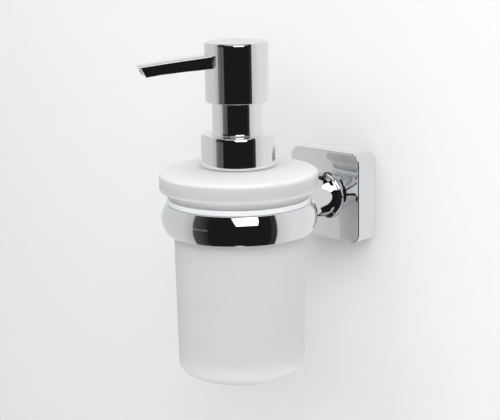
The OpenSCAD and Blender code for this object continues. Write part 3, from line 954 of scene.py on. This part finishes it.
def room_paper(name, studio):
    """Paper that glows by the direction a surface must face to mirror it, so its edges stay upright there."""
    shader = Shader(name)
    offset = shader.add("ShaderNodeVectorMath", operation="MULTIPLY_ADD")
    shader.join(shader.place, offset.inputs[0])
    offset.inputs[1].default_value = (1.0, -1.0, 1.0)
    offset.inputs[2].default_value = (-AXIS.x, AXIS.y, -AXIS.z)
    away = shader.add("ShaderNodeVectorMath", operation="NORMALIZE")
    shader.join(offset.outputs["Vector"], away.inputs[0])
    facing = shader.add("ShaderNodeVectorMath", operation="ADD")
    shader.join(away.outputs["Vector"], facing.inputs[0])
    x, y, z = outward(studio.camera_azimuth, studio.camera_elevation)
    facing.inputs[1].default_value = (x, -y, z)
    parts = shader.add("ShaderNodeSeparateXYZ")
    shader.join(facing.outputs["Vector"], parts.inputs["Vector"])
    angle = shader.add("ShaderNodeMath", operation="ARCTAN2")
    shader.join(parts.outputs["X"], angle.inputs[0])
    shader.join(parts.outputs["Y"], angle.inputs[1])
    start = studio.camera_azimuth - math.pi / 2
    round_from_left = shader.spread(angle.outputs["Value"], 0.0, 1.0, start, start + math.pi)
    place = shader.add("ShaderNodeSeparateXYZ")
    shader.join(shader.place, place.inputs["Vector"])
    band = shader.add("ShaderNodeMath", operation="COMPARE")
    shader.join(place.outputs["Z"], band.inputs[0])
    band.inputs[1].default_value, band.inputs[2].default_value = studio.band_height, studio.band_width / 2
    mix = shader.add("ShaderNodeMix", data_type="RGBA")
    shader.join(band.outputs["Value"], mix.inputs[MIX_FACTOR])
    for slot, shades in ((MIX_A, MIRRORED_ROOM), (MIX_B, LOW_BAND)):
        shader.join(shader.ramp(round_from_left, [(0.5 + turn / 360.0, shade) for turn, shade in shades]),
                    mix.inputs[slot])
    glow = shader.add("ShaderNodeEmission")
    shader.join(mix.outputs[MIX_RESULT], glow.inputs["Color"])
    shader.join(glow.outputs["Emission"], shader.tree.nodes["Material Output"].inputs["Surface"])
    return shader.material


class DISPENSER_OT_studio(bpy.types.Operator):
    """Set up the wall and floor, the soft lights, the screen that the chrome mirrors and the camera"""

    bl_idname = "dispenser.studio"
    bl_label = "Studio"

    def execute(self, context):
        studio = context.scene.dispenser_studio
        wall, floor, cove, top, depth = 0.001, -0.50, 0.20, 3.0, 4.0
        corner = arc(wall - cove, floor + cove, cove, 0.0, -90.0, 12)
        self.backdrop([(wall, top)] + corner + [(-depth, floor)], studio)
        self.mirrored_room(studio)
        self.soft_light("key_light", studio.key_power, size=(1.06, 1.35), angles=(55.7, 40.0), distance=1.85)
        for name, power, size, angles, distance in (
                ("top_light", studio.top_power, (1.3, 1.0), (4.0, 50.0), 0.84),
                ("side_fill", studio.fill_power, (0.9, 0.9), (38.0, 16.0), 1.5)):
            self.soft_light(name, power, size, angles, distance).visible_glossy = False
        self.room(context, studio)
        self.camera(context, studio)
        return {"FINISHED"}

    def backdrop(self, outline, studio):
        """A wide pale sheet that follows an outline of (distance from the wall, height) points."""
        width = 8.0
        sheet = draw_outline("wall_and_floor", outline, closed=False)
        bpy.ops.mesh.extrude_region_move(TRANSFORM_OT_translate={"value": (0.0, width, 0.0)})
        bpy.ops.mesh.select_all(action="SELECT")
        bpy.ops.mesh.normals_make_consistent(inside=False)
        faces = bmesh.from_edit_mesh(sheet.data).faces
        if max(faces, key=lambda face: face.calc_center_median().z).normal.x > 0:
            bpy.ops.mesh.flip_normals()
        bpy.ops.object.mode_set(mode="OBJECT")
        place_in_mesh(sheet)
        sheet.rotation_euler = (0.0, 0.0, math.pi / 2)
        sheet.location = (width / 2, 0.0, 0.0)
        place_in_mesh(sheet)
        smooth(sheet, 40.0)
        sheet.data.materials.append(one_sided_paint("wall_paint", studio.backdrop_colour))
        sheet.visible_glossy = False

    def mirrored_room(self, studio):
        """A tall round screen about the object, seen only in its reflections."""
        distance, bottom, top = studio.screen_distance, -30.0, 4.8
        screen = turned("mirrored_room", [(distance, bottom), (distance, top)], steps=96, closed=False)
        screen.data.materials.append(room_paper("room_paper", studio))
        screen.visible_camera = screen.visible_diffuse = screen.visible_transmission = False
        screen.visible_volume_scatter = screen.visible_shadow = False

    def soft_light(self, name, power, size, angles, distance):
        """A soft light at angles round and above the bottle, in degrees, aimed at its axis."""
        direction = outward(math.radians(angles[0]), math.radians(angles[1]))
        deselect_all()
        bpy.ops.object.light_add(type="AREA", location=AXIS + direction * distance)
        light = bpy.context.object
        light.name = light.data.name = name
        light.rotation_euler = direction.to_track_quat("Z", "Y").to_euler()
        light.data.shape = "RECTANGLE"
        light.data.size, light.data.size_y = size
        light.data.energy = power
        return light

    def room(self, context, studio):
        """Even light from all round, brighter where the chrome mirrors it, and plain tones."""
        world = bpy.data.worlds.new("room")
        world.use_nodes = True
        tree = world.node_tree
        background = tree.nodes["Background"]
        background.inputs["Color"].default_value = (0.985, 0.99, 1.0, 1.0)
        path = tree.nodes.new("ShaderNodeLightPath")
        level = tree.nodes.new("ShaderNodeMapRange")
        level.inputs["To Min"].default_value = studio.sky_strength
        level.inputs["To Max"].default_value = studio.mirrored_sky
        tree.links.new(path.outputs["Is Glossy Ray"], level.inputs["Value"])
        tree.links.new(level.outputs["Result"], background.inputs["Strength"])
        context.scene.world = world
        context.scene.view_settings.view_transform = "Standard"
        context.scene.view_settings.look = "None"

    def camera(self, context, studio):
        azimuth = studio.camera_azimuth
        back = outward(azimuth, studio.camera_elevation)
        level = Vector((math.cos(azimuth), math.sin(azimuth), 0.0))
        rise = back.cross(level)
        turn, lean = math.cos(studio.camera_roll), math.sin(studio.camera_roll)
        right = level * turn + rise * lean
        up = rise * turn - level * lean
        deselect_all()
        bpy.ops.object.camera_add()
        camera = context.object
        camera.name = camera.data.name = "camera"
        camera.data.lens = studio.lens
        camera.data.sensor_width = SENSOR_WIDTH
        camera.data.sensor_fit = "HORIZONTAL"
        place = AXIS + right * studio.camera_side + up * studio.camera_rise + back * studio.camera_distance
        turned_to = Matrix((right, up, back)).transposed().to_4x4()
        camera.matrix_world = Matrix.Translation(place) @ turned_to
        context.scene.camera = camera


class DISPENSER_PT_panel(bpy.types.Panel):
    """The dispenser's pieces and their settings"""

    bl_idname = "DISPENSER_PT_panel"
    bl_label = "Soap Dispenser"
    bl_space_type = "VIEW_3D"
    bl_region_type = "UI"
    bl_category = "Dispenser"

    def draw(self, context):
        for title, name, _, operators in PANEL_GROUPS:
            box = self.layout.box()
            box.label(text=title)
            settings = getattr(context.scene, name)
            for key in settings.bl_rna.properties.keys():
                if key not in {"rna_type", "name"}:
                    box.prop(settings, key)
            for operator in operators:
                box.operator(operator.bl_idname)


# ------------------------------------------------ the add-on


PANEL_GROUPS = [
    ("Mount", "dispenser_mount", MountSettings, [
        DISPENSER_OT_rosette, DISPENSER_OT_arm, DISPENSER_OT_ring, DISPENSER_OT_liner]),
    ("Bottle", "dispenser_bottle", BottleSettings, [DISPENSER_OT_bottle]),
    ("Pump", "dispenser_pump", PumpSettings, [
        DISPENSER_OT_collar, DISPENSER_OT_sleeve, DISPENSER_OT_head, DISPENSER_OT_spout,
        DISPENSER_OT_coil, DISPENSER_OT_inner_finishes]),
    ("Studio", "dispenser_studio", StudioSettings, [DISPENSER_OT_studio]),
]


def register():
    for _, name, settings, operators in PANEL_GROUPS:
        bpy.utils.register_class(settings)
        setattr(bpy.types.Scene, name, PointerProperty(type=settings))
        for operator in operators:
            bpy.utils.register_class(operator)
    bpy.utils.register_class(DISPENSER_PT_panel)


def unregister():
    bpy.utils.unregister_class(DISPENSER_PT_panel)
    for _, name, settings, operators in reversed(PANEL_GROUPS):
        for operator in reversed(operators):
            bpy.utils.unregister_class(operator)
        delattr(bpy.types.Scene, name)
        bpy.utils.unregister_class(settings)


def main():
    register()
    bpy.ops.dispenser.studio()
    bpy.ops.dispenser.inner_finishes()
    bpy.ops.dispenser.rosette()
    bpy.ops.dispenser.arm()
    bpy.ops.dispenser.ring()
    bpy.ops.dispenser.liner()
    bpy.ops.dispenser.bottle()
    bpy.ops.dispenser.collar()
    bpy.ops.dispenser.sleeve()
    bpy.ops.dispenser.head()
    bpy.ops.dispenser.spout()
    bpy.ops.dispenser.coil()


if __name__ == "__main__":
    main()
